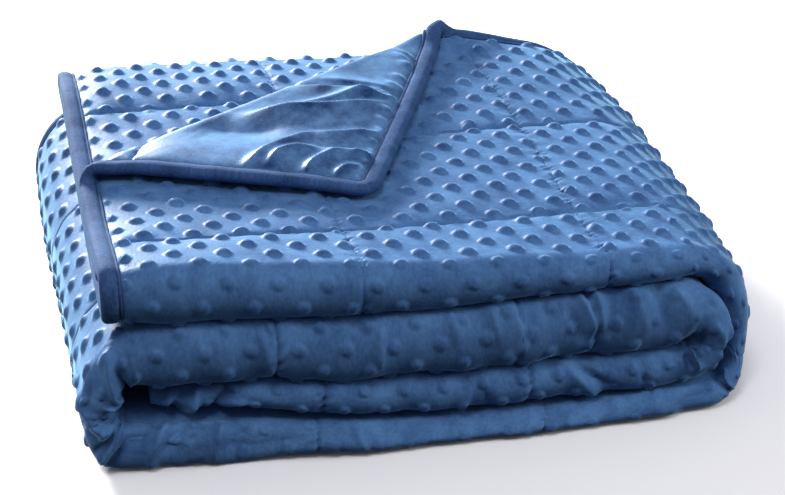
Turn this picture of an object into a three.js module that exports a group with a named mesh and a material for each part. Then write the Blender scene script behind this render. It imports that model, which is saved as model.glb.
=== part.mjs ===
import * as THREE from 'three';

// Quilted throw blanket: folded in thirds to a long strip, the strip rolled flat into four layers,
// one corner of the top ply turned back so that the smooth side shows.
// Millimetres. +Z is up, the rolled front faces -Y, the bound end of the top layer is at -X.

// The blanket laid flat: s runs along it from the shown end, t across it from the shown long edge,
// w out of the dotted side.
const SQUARE = 122;
const LENGTH = 11 * SQUARE;
const WIDTH = 7.5 * SQUARE;

// Sewn lines along s and across t. The dotted side runs round the outside of the turns and folds,
// which draws the lines closer together there.
const SEWN_S = [122, 244, 361, 477, 592, 706, 818, 935, 1046, 1148, 1254];
const SEWN_T = [132, 244, 348, 467, 589, 702, 821];

// Thickness, as half of it to either side of the middle of the cloth.
const CROWN_HALF = 3.6;
const STITCH_HALF = 1.6;
const EDGE_HALF = 2.0;
const GROOVE_REACH = 16;
const EDGE_REACH = 30;

// Binding round the edge.
const BINDING_WIDTH = 10;
const BINDING_HALF = 3.5;
const BINDING_CLOTH = 1.0;
const BINDING_ROUND = 2;
const BINDING_SEAT = 1.8;
const BODY_INSET = 2.4;
const BODY_UNDER = 11;
const CORNER_ROUND = 12;
const SLANT_FADE = 40;

// Folding in thirds: two plies lie one ply pitch apart.
const PLY = 8;
const STRIP = 3 * PLY;
const FRONT_Y = -161;
const EDGE_Y = 137;
const FOLD_BACK_Y = 164;
const FOLD_SKEW = 0.035;
const SKEW_ENDS = 300;
const FRONT_AXIS = FRONT_Y + 1.5 * PLY;
const BACK_AXIS = FOLD_BACK_Y - PLY;
const FRONT_ARC = Math.PI * PLY;
const BACK_ARC = Math.PI * PLY / 2;

// Rolling: the strip goes right on top, under to the left, up and right again inside, then left inside.
const END_X = -147;
const END_SKEW = 0.015;
const FLOOR_LIFT = 0.45;
const LEAN = -0.00012;
const BACK_RISE_FROM_Y = 20;
const BACK_RISE_FADE = 100;

// The free long edge of the top ply stands up beside the turned corner.
const LIFT = 13;
const LIFT_REACH = 34;
const LIFT_FROM_S = 60;
const LIFT_FULL_S = 228;
const LIFT_LOW_S = 310;

// Middle of the folded blanket in plan.
const CENTRE_X = 12.72;
const CENTRE_Y = -2.72;

// Loft of the stack, reach of its left and right sides and of the roll inside, from front to back.
const SECTIONS = [
  { y: -170, loft: 0.94, left: -159, right: 166, inner: 161.5 },
  { y: -150, loft: 0.945, left: -159, right: 173, inner: 159 },
  { y: -130, loft: 0.95, left: -159, right: 178, inner: 157 },
  { y: -60, loft: 0.97, left: -161, right: 185, inner: 158 },
  { y: 60, loft: 1.05, left: -166, right: 192, inner: 163 },
  { y: 115, loft: 1.08, left: -167, right: 192, inner: 163 },
  { y: 166, loft: 1.05, left: -168, right: 190, inner: 162 },
];
const WALL_GAP = 3;
const WALL_LEAST = 11;
const UPPER_BULGE = 1.2;
const LOWER_BULGE = 0.32;
const LEFT_WALL = 17;
const INNER_END_GAP = 3;

// Heights where one layer meets the next at the front, from left to right.
const JOINTS = [
  { x: -160, first: 27, second: 41.5, third: 73.5, top: 103 },
  { x: -90, first: 24.5, second: 39.5, third: 71, top: 99 },
  { x: -10, first: 14.5, second: 34, third: 66.5, top: 92 },
  { x: 60, first: 13, second: 34, third: 67, top: 88 },
  { x: 110, first: 12.5, second: 33.5, third: 67, top: 85 },
  { x: 170, first: 16, second: 38.5, third: 64, top: 82 },
];
const FRONT_FULL_Y = -150;
const FRONT_FADE = 90;

// Extra height of the stack towards its back, as a share, from left to right.
const BACK_RISES = [
  { x: -180, rise: 0.04 },
  { x: -60, rise: 0.035 },
  { x: 60, rise: 0.02 },
  { x: 190, rise: 0 },
];

// How far the rolled front stands back, along the strip.
const FRONTS = [
  { s: 0, back: 0 },
  { s: 150, back: 1 },
  { s: 250, back: 5 },
  { s: 320, back: 14 },
  { s: 355, back: 11 },
  { s: 385, back: 1 },
  { s: 420, back: -6 },
  { s: 560, back: -8 },
  { s: 660, back: -4 },
  { s: 760, back: 0 },
  { s: 900, back: -2 },
  { s: 1010, back: 1 },
  { s: 1250, back: 0 },
  { s: 1300, back: 6 },
  { s: LENGTH, back: 26 },
];
const FRONTS_FADE = 110;

// Turned corner: its fold leaves the long edge at TURN_S and the end at TURN_T.
const TURN_S = 249;
const TURN_T = 166;
const TURN_RADIUS = 4.6;
const TURN_STEPS = 8;
const TURN_SPAN = Math.hypot(TURN_S, TURN_T);
const TURN_ACROSS_S = TURN_T / TURN_SPAN;
const TURN_ACROSS_T = TURN_S / TURN_SPAN;
const TURN_DEPTH = TURN_S * TURN_T / TURN_SPAN;
const TURN_ARC = Math.PI * TURN_RADIUS;

// Places along the strip where one run of the rolling ends and the next begins.
const EVEN_RUNS = rollRuns(0).lengths;
const RUN_ENDS = EVEN_RUNS.map((length, k) => EVEN_RUNS.slice(0, k + 1).reduce((sum, part) => sum + part));

// Where the cloth is divided along s: finely where the strip turns round, at the stitching elsewhere.
const S_BANDS = [
  { from: BODY_UNDER, to: 61, parts: 1 },
  { from: 61, to: 106, parts: 1 },
  { from: 106, to: 138, parts: 2 },
  { from: 138, to: 228, parts: 2 },
  { from: 228, to: 260, parts: 2 },
  { from: RUN_ENDS[0], to: 345, parts: 5 },
  { from: 345, to: 377, parts: 2 },
  { from: 377, to: RUN_ENDS[1], parts: 2 },
  { from: 432, to: 461, parts: 1 },
  { from: 461, to: 493, parts: 2 },
  { from: 493, to: 576, parts: 2 },
  { from: 576, to: 608, parts: 2 },
  { from: RUN_ENDS[2], to: 690, parts: 1 },
  { from: 690, to: 722, parts: 2 },
  { from: 722, to: RUN_ENDS[3], parts: 3 },
  { from: RUN_ENDS[3], to: 802, parts: 2 },
  { from: 802, to: 834, parts: 2 },
  { from: 834, to: 919, parts: 2 },
  { from: 919, to: 951, parts: 2 },
  { from: RUN_ENDS[4], to: RUN_ENDS[5], parts: 6 },
  { from: 1098, to: 1148, parts: 1 },
  { from: 1148, to: 1254, parts: 2 },
  { from: 1254, to: LENGTH - BODY_UNDER, parts: 1 },
];

// The same across t. Bands that follow the front or back fold move with its skew.
const T_BANDS = [
  { from: BODY_UNDER, to: 34, parts: 1 },
  { from: 65, to: 116, parts: 1 },
  { from: 116, to: 148, parts: 2 },
  { from: 148, to: 228, parts: 2 },
  { from: 228, to: 260, parts: 2 },
  { from: EDGE_Y - FRONT_AXIS, to: EDGE_Y - FRONT_AXIS + FRONT_ARC, parts: 6, follows: 1 },
  { from: 332, to: 348, parts: 1 },
  { from: 366, to: 391, parts: 1 },
  { from: 427, to: 467, parts: 1 },
  { from: 467, to: 589, parts: 2 },
  { from: backFoldStart(0), to: backFoldStart(0) + BACK_ARC, parts: 5, follows: 1 },
  { from: 686, to: 718, parts: 2 },
  { from: 718, to: 805, parts: 2 },
  { from: 821, to: 854, parts: 1 },
  { from: 854, to: WIDTH - BODY_UNDER, parts: 2 },
];

/** Place in t where the back fold starts, for a given shift of the front fold. */
function backFoldStart(shift) {
  return EDGE_Y - FRONT_AXIS + shift + FRONT_ARC + BACK_AXIS - FRONT_AXIS;
}

/** Smooth step from 0 to 1. */
function ease(value) {
  const u = THREE.MathUtils.clamp(value, 0, 1);
  return u * u * (3 - 2 * u);
}

/** Slope of a table column at one row. */
function rowSlope(rows, key, column, k) {
  const before = rows[Math.max(k - 1, 0)];
  const after = rows[Math.min(k + 1, rows.length - 1)];
  return (after[column] - before[column]) / (after[key] - before[key]);
}

/** Smooth value of a table column, read along its key column. */
function readTable(rows, key, column, at) {
  const last = rows.length - 1;
  const place = THREE.MathUtils.clamp(at, rows[0][key], rows[last][key]);
  let k = 0;
  while (k < last - 1 && place > rows[k + 1][key]) {
    k += 1;
  }
  const span = rows[k + 1][key] - rows[k][key];
  const u = (place - rows[k][key]) / span;
  const v = 1 - u;
  const start = (1 + 2 * u) * v * v * rows[k][column];
  const end = (1 + 2 * v) * u * u * rows[k + 1][column];
  const leave = u * v * v * span * rowSlope(rows, key, column, k);
  const reach = u * u * v * span * rowSlope(rows, key, column, k + 1);
  return start + end + leave - reach;
}

/** Shift of the folds across the cloth, along the strip. */
function foldShift(s) {
  return FOLD_SKEW * (THREE.MathUtils.clamp(s, 0, SKEW_ENDS) - SQUARE);
}

/** Half thickness of the quilted cloth: drawn in along the stitching and under the binding. */
function halfThickness(s, t) {
  const edge = Math.min(s, LENGTH - s, t, WIDTH - t);
  if (edge < BODY_UNDER + 0.01) {
    return EDGE_HALF;
  }
  const alongS = Math.min(...SEWN_S.map((line) => Math.abs(s - line)));
  const alongT = Math.min(...SEWN_T.map((line) => Math.abs(t - line)));
  const stitch = Math.min(1, alongS / GROOVE_REACH, alongT / GROOVE_REACH);
  const swell = Math.sqrt(1 - (1 - stitch) ** 2);
  const crown = THREE.MathUtils.lerp(STITCH_HALF, CROWN_HALF, swell);
  const fromEdge = Math.min(1, (edge - BODY_UNDER) / EDGE_REACH);
  return Math.min(crown, THREE.MathUtils.lerp(EDGE_HALF, CROWN_HALF, fromEdge));
}

/** Depth of a flat point past the fold of the turned corner. */
function turnDepth(s, t) {
  return TURN_DEPTH - s * TURN_ACROSS_S - t * TURN_ACROSS_T;
}

/** Turns the corner back over the top ply. */
function turnCorner(s, t, w) {
  const depth = turnDepth(s, t);
  if (depth <= 0) {
    return { s, t, w };
  }
  const angle = Math.min(depth / TURN_RADIUS, Math.PI);
  const beyond = Math.max(depth - TURN_ARC, 0);
  const shift = depth + beyond - (TURN_RADIUS - w) * Math.sin(angle);
  return {
    s: s + TURN_ACROSS_S * shift,
    t: t + TURN_ACROSS_T * shift,
    w: TURN_RADIUS - (TURN_RADIUS - w) * Math.cos(angle),
  };
}

/** Folds the width in thirds: y along the section, n up from the middle ply. */
function foldThirds(s, t, w) {
  const shift = foldShift(s);
  const frontStart = EDGE_Y - FRONT_AXIS + shift;
  const backStart = backFoldStart(shift);
  if (t <= frontStart) {
    return { y: FRONT_AXIS + frontStart - t, n: PLY + w };
  }
  if (t <= frontStart + FRONT_ARC) {
    const angle = (t - frontStart) / PLY;
    return { y: FRONT_AXIS - (PLY + w) * Math.sin(angle), n: (PLY + w) * Math.cos(angle) };
  }
  if (t <= backStart) {
    return { y: FRONT_AXIS + t - frontStart - FRONT_ARC, n: -PLY - w };
  }
  if (t <= backStart + BACK_ARC) {
    const angle = (t - backStart) / (PLY / 2);
    const radius = PLY / 2 + w;
    return { y: BACK_AXIS + radius * Math.sin(angle), n: -PLY / 2 - radius * Math.cos(angle) };
  }
  return { y: BACK_AXIS - (t - backStart - BACK_ARC), n: w };
}

/** Runs of the rolled strip at one distance from the front. */
function rollRuns(y) {
  const loft = readTable(SECTIONS, 'y', 'loft', y);
  const right = readTable(SECTIONS, 'y', 'right', y);
  const inner = readTable(SECTIONS, 'y', 'inner', y);
  const layer = STRIP * loft;
  const wall = Math.max(WALL_LEAST, Math.min(layer, right - inner - WALL_GAP));
  const outerX = right - wall - layer;
  const leftX = readTable(SECTIONS, 'y', 'left', y) + LEFT_WALL + 0.5 * layer;
  const innerX = inner - layer;
  const lengths = [
    outerX - END_X,
    Math.PI * 1.5 * layer,
    outerX - leftX,
    Math.PI * layer,
    innerX - leftX,
    Math.PI * 0.5 * layer,
  ];
  return { loft, layer, wall, outerX, leftX, innerX, lengths };
}

/** Rolls the strip flat into four layers at one distance from the front. */
function rollStrip(s, n, y) {
  const { loft, layer, wall, outerX, leftX, innerX } = rollRuns(y);
  const up = n * loft;
  const run = RUN_ENDS.findIndex((end) => s <= end);
  if (run < 0) {
    const along = (s - RUN_ENDS[5]) / (LENGTH - RUN_ENDS[5]);
    return { x: THREE.MathUtils.lerp(innerX, leftX + INNER_END_GAP, along), z: 1.5 * layer - up, layer };
  }
  const share = 1 - (RUN_ENDS[run] - s) / EVEN_RUNS[run];
  const angle = Math.PI * share;
  if (run === 0) {
    return { x: THREE.MathUtils.lerp(END_X - END_SKEW * y, outerX, share), z: 3.5 * layer + up, layer };
  }
  if (run === 1) {
    const reach = layer + wall * (0.5 + up / layer);
    const bulge = Math.sin(angle) ** (share > 0.5 ? LOWER_BULGE : UPPER_BULGE);
    return { x: outerX + reach * bulge, z: 2 * layer + (1.5 * layer + up) * Math.cos(angle), layer };
  }
  if (run === 2) {
    return { x: THREE.MathUtils.lerp(outerX, leftX, share), z: 0.5 * layer - up, layer };
  }
  if (run === 3) {
    const reach = 0.5 * layer + LEFT_WALL * (0.5 + up / layer);
    const bulge = Math.sin(angle) ** (share < 0.5 ? LOWER_BULGE : UPPER_BULGE);
    return { x: leftX - reach * bulge, z: 1.5 * layer - (layer + up) * Math.cos(angle), layer };
  }
  if (run === 4) {
    return { x: THREE.MathUtils.lerp(leftX, innerX, share), z: 2.5 * layer + up, layer };
  }
  const radius = 0.5 * layer + up;
  return { x: innerX + radius * Math.sin(angle), z: 2 * layer + radius * Math.cos(angle), layer };
}

/** Settles the layers: uneven at the front, leaning a little from left to right. */
function settle(x, y, z, layer) {
  const joint = (column) => readTable(JOINTS, 'x', column, x);
  const heights = [0, joint('first'), joint('second'), joint('third'), joint('top')];
  const count = THREE.MathUtils.clamp(z / layer, 0, 4);
  const below = Math.min(Math.floor(count), 3);
  const front = THREE.MathUtils.lerp(heights[below], heights[below + 1], count - below) + z - count * layer;
  const rise = readTable(BACK_RISES, 'x', 'rise', x) * ease((y - BACK_RISE_FROM_Y) / BACK_RISE_FADE);
  const plain = z * (1 + LEAN * x + rise);
  return THREE.MathUtils.lerp(front, plain, ease((y - FRONT_FULL_Y) / FRONT_FADE));
}

/** Lift of the top ply's free edge. */
function edgeLift(s, t) {
  const along = ease((s - LIFT_FROM_S) / (LIFT_FULL_S - LIFT_FROM_S));
  const away = 1 - ease((s - LIFT_FULL_S) / (LIFT_LOW_S - LIFT_FULL_S));
  return LIFT * along * away * (1 - ease(t / LIFT_REACH));
}

/** Carries a point of the flat blanket to its place in the folded one. */
function place(flatS, flatT, flatW) {
  const turned = turnCorner(flatS, flatT, flatW);
  const folded = foldThirds(turned.s, turned.t, turned.w);
  const back = readTable(FRONTS, 's', 'back', turned.s);
  const y = folded.y + back * (1 - ease((folded.y - FRONT_Y) / FRONTS_FADE));
  const rolled = rollStrip(turned.s, folded.n, y);
  const z = settle(rolled.x, y, rolled.z, rolled.layer) - FLOOR_LIFT + edgeLift(turned.s, turned.t);
  return new THREE.Vector3(rolled.x - CENTRE_X, y - CENTRE_Y, Math.max(z, 0));
}

/** Lines that divide the cloth in one direction, edge to edge. */
function divide(bands, size) {
  const lines = [{ at: BODY_INSET, follows: 0 }];
  for (const band of bands) {
    for (let k = 0; k <= band.parts; k += 1) {
      const at = THREE.MathUtils.lerp(band.from, band.to, k / band.parts);
      if (at - lines[lines.length - 1].at > 0.5) {
        lines.push({ at, follows: band.follows ?? 0 });
      }
    }
  }
  lines.push({ at: size - BODY_INSET, follows: 0 });
  return lines;
}

/** Cuts flat convex patches along one line parallel to the fold of the turned corner. */
function cutPatches(patches, level) {
  const cut = [];
  for (const patch of patches) {
    const depths = patch.map(([s, t]) => turnDepth(s, t) - level);
    if (Math.min(...depths) > -1e-6 || Math.max(...depths) < 1e-6) {
      cut.push(patch);
      continue;
    }
    const past = [];
    const short = [];
    patch.forEach((point, k) => {
      const next = (k + 1) % patch.length;
      if (depths[k] >= -1e-6) {
        past.push(point);
      }
      if (depths[k] <= 1e-6) {
        short.push(point);
      }
      if (Math.abs(depths[k]) > 1e-6 && Math.abs(depths[next]) > 1e-6 && depths[k] * depths[next] < 0) {
        const share = depths[k] / (depths[k] - depths[next]);
        const between = point.map((value, axis) => THREE.MathUtils.lerp(value, patch[next][axis], share));
        past.push(between);
        short.push(between);
      }
    });
    cut.push(past, short);
  }
  return cut;
}

/** Flat patches of the quilted cloth, rounded at the four corners. */
function flatPatches() {
  const sLines = divide(S_BANDS, LENGTH);
  const tLines = divide(T_BANDS, WIDTH);
  const rounded = CORNER_ROUND - (CORNER_ROUND - BODY_INSET) * Math.SQRT1_2;
  const point = (i, j) => {
    const s = sLines[i].at;
    const t = tLines[j].at + tLines[j].follows * foldShift(s);
    const endS = i === 0 || i === sLines.length - 1;
    const endT = j === 0 || j === tLines.length - 1;
    if (!endS || !endT) {
      return [s, t];
    }
    return [i === 0 ? rounded : LENGTH - rounded, j === 0 ? rounded : WIDTH - rounded];
  };
  let patches = [];
  for (let i = 0; i < sLines.length - 1; i += 1) {
    for (let j = 0; j < tLines.length - 1; j += 1) {
      patches.push([point(i, j), point(i + 1, j), point(i + 1, j + 1), point(i, j + 1)]);
    }
  }
  for (let k = 0; k <= TURN_STEPS; k += 1) {
    patches = cutPatches(patches, TURN_ARC * k / TURN_STEPS);
  }
  return patches;
}

/** Mesh from points and faces, faces listed by point number. */
function makeMesh(name, points, faces, material) {
  const geometry = new THREE.BufferGeometry();
  geometry.setAttribute('position', new THREE.Float32BufferAttribute(points.flatMap((p) => p.toArray()), 3));
  geometry.setIndex(faces.flat());
  geometry.computeVertexNormals();
  const mesh = new THREE.Mesh(geometry, material);
  mesh.name = name;
  return mesh;
}

/** Quilted cloth: dotted face above, smooth face below, a rim between them. */
function makeBody(material) {
  const points = [];
  const numbers = new Map();
  const number = ([s, t]) => {
    const key = `${s.toFixed(3)},${t.toFixed(3)}`;
    if (!numbers.has(key)) {
      const half = halfThickness(s, t);
      numbers.set(key, points.length);
      points.push(place(s, t, half), place(s, t, -half));
    }
    return numbers.get(key);
  };
  const faces = [];
  const rim = new Map();
  for (const patch of flatPatches()) {
    const loop = patch.map(number);
    for (let k = 1; k < loop.length - 1; k += 1) {
      faces.push([loop[0], loop[k + 1], loop[k]]);
      faces.push([loop[0] + 1, loop[k] + 1, loop[k + 1] + 1]);
    }
    loop.forEach((from, k) => {
      const to = loop[(k + 1) % loop.length];
      const back = `${to},${from}`;
      if (rim.has(back)) {
        rim.delete(back);
      } else {
        rim.set(`${from},${to}`, [from, to]);
      }
    });
  }
  for (const [from, to] of rim.values()) {
    faces.push([from, to, to + 1]);
    faces.push([from, to + 1, from + 1]);
  }
  return makeMesh('quilted_body', points, faces, material);
}

/** Stations along one plain edge, on the cloth's own lines. */
function edgeStations(lines, size, shift) {
  const places = lines.map((line) => line.at + line.follows * shift);
  const clear = places.filter((at) => at > CORNER_ROUND + 3 && at < size - CORNER_ROUND - 3);
  return [CORNER_ROUND, ...clear, size - CORNER_ROUND].map((at) => ({ at, slant: 0 }));
}

/** Stations along an edge that the turned corner crosses: slanted with its fold, square further off. */
function turnedStations(lines, size, shift, across, slant) {
  const bend = [];
  for (let k = TURN_STEPS; k >= 0; k -= 1) {
    bend.push({ at: (TURN_DEPTH - TURN_ARC * k / TURN_STEPS) / across, slant });
  }
  const start = bend[0].at;
  const end = bend[TURN_STEPS].at;
  const plain = edgeStations(lines, size, shift)
    .map(({ at }) => ({ at, off: Math.max(start - at, at - end) }))
    .filter(({ off }) => off > 4)
    .map(({ at, off }) => ({ at, slant: slant * Math.max(0, 1 - off / SLANT_FADE) }));
  return [...plain, ...bend].sort((a, b) => a.at - b.at);
}

/** Binding folded over the raw edge: one closed ring of U section. */
function makeBinding(material) {
  const sLines = divide(S_BANDS, LENGTH);
  const tLines = divide(T_BANDS, WIDTH);
  const slantS = -TURN_ACROSS_T / TURN_ACROSS_S;
  const slantT = -TURN_ACROSS_S / TURN_ACROSS_T;
  const longTurned = turnedStations(sLines, LENGTH, 0, TURN_ACROSS_S, slantS);
  const endTurned = turnedStations(tLines, WIDTH, foldShift(0), TURN_ACROSS_T, slantT).reverse();
  const longPlain = edgeStations(sLines, LENGTH, 0).reverse();
  const endPlain = edgeStations(tLines, WIDTH, foldShift(LENGTH));
  const ring = [];
  const addCorner = (s, t, start) => {
    for (let k = 1; k < 4; k += 1) {
      const angle = start + Math.PI / 2 * k / 4;
      const inward = [-Math.cos(angle), -Math.sin(angle)];
      ring.push({ s: s - CORNER_ROUND * inward[0], t: t - CORNER_ROUND * inward[1], inward });
    }
  };
  longTurned.forEach(({ at, slant }) => ring.push({ s: at, t: 0, inward: [slant, 1] }));
  addCorner(LENGTH - CORNER_ROUND, CORNER_ROUND, -Math.PI / 2);
  endPlain.forEach(({ at }) => ring.push({ s: LENGTH, t: at, inward: [-1, 0] }));
  addCorner(LENGTH - CORNER_ROUND, WIDTH - CORNER_ROUND, 0);
  longPlain.forEach(({ at }) => ring.push({ s: at, t: WIDTH, inward: [0, -1] }));
  addCorner(CORNER_ROUND, WIDTH - CORNER_ROUND, Math.PI / 2);
  endTurned.forEach(({ at, slant }) => ring.push({ s: 0, t: at, inward: [1, slant] }));
  addCorner(CORNER_ROUND, CORNER_ROUND, Math.PI);

  const lining = BINDING_HALF - BINDING_CLOTH;
  const section = [
    { in: BINDING_WIDTH, w: BINDING_HALF },
    { in: BINDING_ROUND, w: BINDING_HALF },
    { in: 0, w: BINDING_HALF - BINDING_ROUND },
    { in: 0, w: BINDING_ROUND - BINDING_HALF },
    { in: BINDING_ROUND, w: -BINDING_HALF },
    { in: BINDING_WIDTH, w: -BINDING_HALF },
    { in: BINDING_WIDTH, w: -lining },
    { in: BINDING_SEAT, w: -lining },
    { in: BINDING_SEAT, w: lining },
    { in: BINDING_WIDTH, w: lining },
  ];
  const points = [];
  for (const station of ring) {
    for (const corner of section) {
      const s = station.s + corner.in * station.inward[0];
      const t = station.t + corner.in * station.inward[1];
      points.push(place(s, t, corner.w));
    }
  }
  const faces = [];
  const sides = section.length;
  ring.forEach((station, k) => {
    const here = k * sides;
    const next = ((k + 1) % ring.length) * sides;
    for (let j = 0; j < sides; j += 1) {
      const along = (j + 1) % sides;
      faces.push([here + j, next + along, here + along]);
      faces.push([here + j, next + j, next + along]);
    }
  });
  return makeMesh('edge_binding', points, faces, material);
}

const dottedPlush = new THREE.MeshStandardMaterial({ color: '#4a70aa', roughness: 0.95, metalness: 0 });
dottedPlush.name = 'dotted_plush';
const bindingPlush = new THREE.MeshStandardMaterial({ color: '#49679c', roughness: 0.9, metalness: 0 });
bindingPlush.name = 'binding_plush';

const blanket = new THREE.Group();
blanket.name = 'throw_blanket';
blanket.add(makeBody(dottedPlush));
blanket.add(makeBinding(bindingPlush));

export default blanket;
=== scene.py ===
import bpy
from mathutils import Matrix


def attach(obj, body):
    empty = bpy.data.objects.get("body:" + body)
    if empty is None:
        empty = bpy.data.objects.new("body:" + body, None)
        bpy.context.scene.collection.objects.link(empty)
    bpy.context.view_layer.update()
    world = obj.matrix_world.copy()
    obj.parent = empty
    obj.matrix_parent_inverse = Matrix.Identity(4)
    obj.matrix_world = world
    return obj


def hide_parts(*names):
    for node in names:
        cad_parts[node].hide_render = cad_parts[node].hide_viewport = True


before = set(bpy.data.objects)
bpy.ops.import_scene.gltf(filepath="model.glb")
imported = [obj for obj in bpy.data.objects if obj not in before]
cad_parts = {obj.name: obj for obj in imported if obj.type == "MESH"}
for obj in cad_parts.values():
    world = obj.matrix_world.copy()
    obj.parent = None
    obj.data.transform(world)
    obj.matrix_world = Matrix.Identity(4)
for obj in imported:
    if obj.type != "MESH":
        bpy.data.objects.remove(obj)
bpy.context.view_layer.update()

import math

import bmesh
import bpy
import numpy as np
from mathutils import Vector

bl_info = {
    "name": "Quilted throw blanket",
    "version": (1, 0, 0),
    "blender": (4, 5, 0),
    "location": "3D View > Sidebar > Blanket",
    "description": "Dresses a folded, quilted throw with dotted plush, smooth plush, binding and stitching",
    "category": "Object",
}

# The blanket is drawn flat and then carried into its folds. All of this is in millimetres:
# s runs along the blanket from the shown end, t across it from the shown long edge,
# w out of the dotted side.
SQUARE = 122.0
LENGTH = 11 * SQUARE
WIDTH = 7.5 * SQUARE
PLY = 8.0
STRIP = 3 * PLY
MM = 0.001

# Quilted thickness, as half of it to either side of the middle of the cloth.
CROWN_HALF = 4.1
STITCH_HALF = 1.5
EDGE_HALF = 0.8
GROOVE_REACH = 22.0
CROSS_REACH, CROSS_DEPTH = 8.0, 0.2
DITCH_WIDTH, DITCH_DEPTH = 0.9, 0.7
EDGE_REACH = 24.0
BINDING_WIDTH = 10.0
CORNER_ROUND = 12.0

# Folding in thirds.
FRONT_Y, EDGE_Y, FOLD_BACK_Y = -161.0, 137.0, 164.0
FOLD_SKEW, SKEW_ENDS = 0.035, 300.0
FRONT_AXIS = FRONT_Y + 1.5 * PLY
BACK_AXIS = FOLD_BACK_Y - PLY
FRONT_ARC = math.pi * PLY
BACK_ARC = math.pi * PLY / 2

# Rolling and settling.
END_X, END_SKEW = -147.0, 0.015
FLOOR_LIFT, LEAN = 0.45, -0.00012
BACK_RISE_FROM_Y, BACK_RISE_FADE = 20.0, 100.0
LIFT, LIFT_REACH = 13.0, 34.0
LIFT_FROM_S, LIFT_FULL_S, LIFT_LOW_S = 60.0, 228.0, 310.0
CENTRE_X, CENTRE_Y = 12.72, -2.72
WALL_GAP, WALL_LEAST, LEFT_WALL = 3.0, 11.0, 17.0
UPPER_BULGE, LOWER_BULGE, INNER_END_GAP = 1.2, 0.32, 3.0
FRONT_FULL_Y, FRONT_FADE, FRONTS_FADE = -150.0, 90.0, 110.0

# Turned corner.
TURN_S, TURN_T, TURN_RADIUS = 249.0, 166.0, 4.6
TURN_SPAN = math.hypot(TURN_S, TURN_T)
TURN_ACROSS_S = TURN_T / TURN_SPAN
TURN_ACROSS_T = TURN_S / TURN_SPAN
TURN_DEPTH = TURN_S * TURN_T / TURN_SPAN
TURN_ARC = math.pi * TURN_RADIUS

# Slight curl of the turned corner's front edge: its height, and where it rises and fades.
CURL, CURL_FADE = 2.0, 20.0
CURL_FROM_S, CURL_REACH_S = 60.0, 55.0
CURL_RISE_T, CURL_END_T, CURL_END_FADE = 45.0, 165.0, 35.0


def table(columns, *rows):
    """A short table with named columns."""
    values = np.array(rows, float)
    return {name: values[:, k] for k, name in enumerate(columns.split())}


SECTIONS = table(
    "y loft left right inner",
    (-170, 0.94, -159, 166, 161.5),
    (-150, 0.945, -159, 173, 159),
    (-130, 0.95, -159, 178, 157),
    (-60, 0.97, -161, 185, 158),
    (60, 1.05, -166, 192, 163),
    (115, 1.08, -167, 192, 163),
    (166, 1.05, -168, 190, 162),
)
JOINTS = table(
    "x first second third top",
    (-160, 27, 41.5, 73.5, 103),
    (-90, 24.5, 39.5, 71, 99),
    (-10, 14.5, 34, 66.5, 92),
    (60, 13, 34, 67, 88),
    (110, 12.5, 33.5, 67, 85),
    (170, 16, 38.5, 64, 82),
)
FRONTS = table(
    "s back",
    (0, 0),
    (150, 1),
    (250, 5),
    (320, 14),
    (355, 11),
    (385, 1),
    (420, -6),
    (560, -8),
    (660, -4),
    (760, 0),
    (900, -2),
    (1010, 1),
    (1250, 0),
    (1300, 6),
    (LENGTH, 26),
)
BACK_RISES = table(
    "x rise",
    (-180, 0.04),
    (-60, 0.035),
    (60, 0.02),
    (190, 0),
)
# How far the rows of dots have slipped across the cloth, taken up in its seams,
# and how much longer the outside of the front fold is, along the strip.
SLIPS = table(
    "t slip",
    (0, 0),
    (127.5, 0),
    (132, -8.3),
    (207.8, 0),
    (244, 4),
    (290, 5.5),
    (WIDTH, 5.5),
)
FOLD_STRETCH = table(
    "s share",
    (0, 0.65),
    (288, 0.65),
    (402, 0.1),
    (480, -0.1),
    (592, 0),
    (679, 0.7),
    (755, 1.1),
    (1031, 1),
    (1069, 0.4),
    (LENGTH, 0.2),
)
BACK_STRETCH = 1.0


def ease(value):
    """Smooth step from 0 to 1."""
    u = np.clip(value, 0, 1)
    return u * u * (3 - 2 * u)


def read_table(rows, key, column, at):
    """Smooth values of a table column, read along its key column."""
    x, v = rows[key], rows[column]
    slope = np.gradient(v, x)
    slope[1:-1] = (v[2:] - v[:-2]) / (x[2:] - x[:-2])
    place_on = np.clip(at, x[0], x[-1])
    k = np.clip(np.searchsorted(x, place_on) - 1, 0, len(x) - 2)
    span = x[k + 1] - x[k]
    u = (place_on - x[k]) / span
    o = 1 - u
    ends = (1 + 2 * u) * o * o * v[k] + (1 + 2 * o) * u * u * v[k + 1]
    return ends + u * o * span * (o * slope[k] - u * slope[k + 1])


def read_lines(rows, key, column, at):
    """The same, with straight lines between the rows."""
    return np.interp(at, rows[key], rows[column])


def fold_shift(s):
    """Shift of the folds across the cloth, along the strip."""
    return FOLD_SKEW * (np.clip(s, 0, SKEW_ENDS) - SQUARE)


def front_fold_start(s):
    """Place in t where the front fold starts."""
    return EDGE_Y - FRONT_AXIS + fold_shift(s)


def back_fold_start(s):
    """Place in t where the back fold starts."""
    return front_fold_start(s) + FRONT_ARC + BACK_AXIS - FRONT_AXIS


def turn_depth(s, t):
    """Depth of a flat point past the fold of the turned corner."""
    return TURN_DEPTH - s * TURN_ACROSS_S - t * TURN_ACROSS_T


def turn_corner(s, t, w):
    """Turns the corner back over the top ply."""
    depth = np.maximum(turn_depth(s, t), 0)
    angle = np.minimum(depth / TURN_RADIUS, math.pi)
    shift = depth + np.maximum(depth - TURN_ARC, 0) - (TURN_RADIUS - w) * np.sin(angle)
    height = TURN_RADIUS - (TURN_RADIUS - w) * np.cos(angle)
    return s + TURN_ACROSS_S * shift, t + TURN_ACROSS_T * shift, height


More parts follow.
